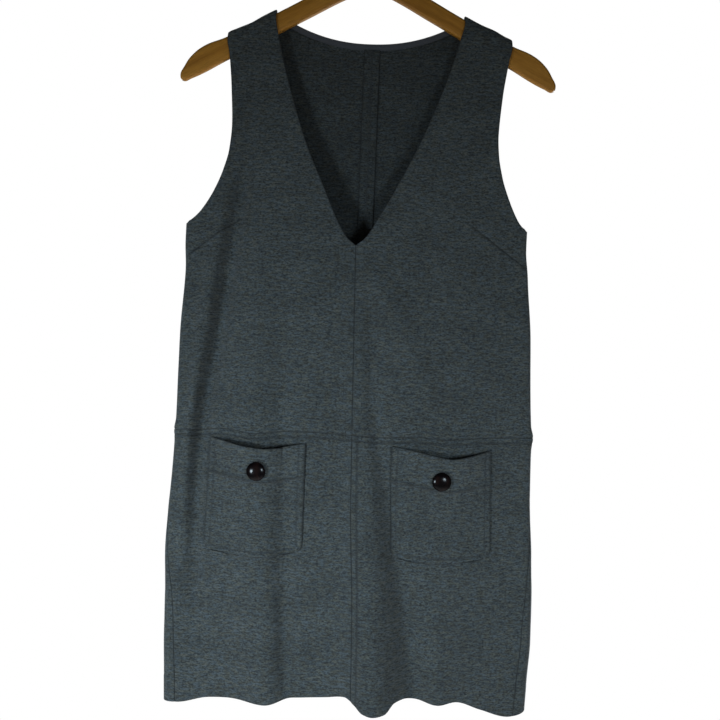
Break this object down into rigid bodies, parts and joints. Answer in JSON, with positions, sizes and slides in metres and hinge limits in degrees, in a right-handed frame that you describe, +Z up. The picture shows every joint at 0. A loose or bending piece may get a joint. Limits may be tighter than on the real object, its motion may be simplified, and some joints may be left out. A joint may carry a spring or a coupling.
{
  "type": "pinafore dress on a wooden hanger",
  "caption": "Sleeveless V-neck shift pinafore in marled grey knit with a dropped waist seam and buttoned patch pockets, on a wooden hanger",
  "frame": {"origin": "inside top of the hanger's hook, where it hangs on a rail", "axes": "+X is the viewer's right seen from the front, -Y is the front of the dress and +Z is up"},
  "size_m": [0.4523, 0.1191, 0.9625],
  "materials": {
    "knit": "soft matt marled double knit with short streaks across",
    "neck_tape": "smooth fine woven tape",
    "button": "polished domed, near black",
    "hanger_wood": "clear lacquered honey brown with fine grain",
    "hook_steel": "bright plated wire"
  },
  "bodies": {
    "root": {"front_bodice_left": "knit", "front_bodice_right": "knit", "front_skirt_left": "knit", "front_skirt_right": "knit", "back_bodice_left": "knit", "back_bodice_right": "knit", "back_skirt_left": "knit", "back_skirt_right": "knit", "pocket_left": "knit", "pocket_right": "knit", "back_neck_tape": "neck_tape", "button_left": "button", "button_right": "button", "hanger_wood": "hanger_wood", "hanger_hook": "hook_steel"}
  },
  "joints": []
}
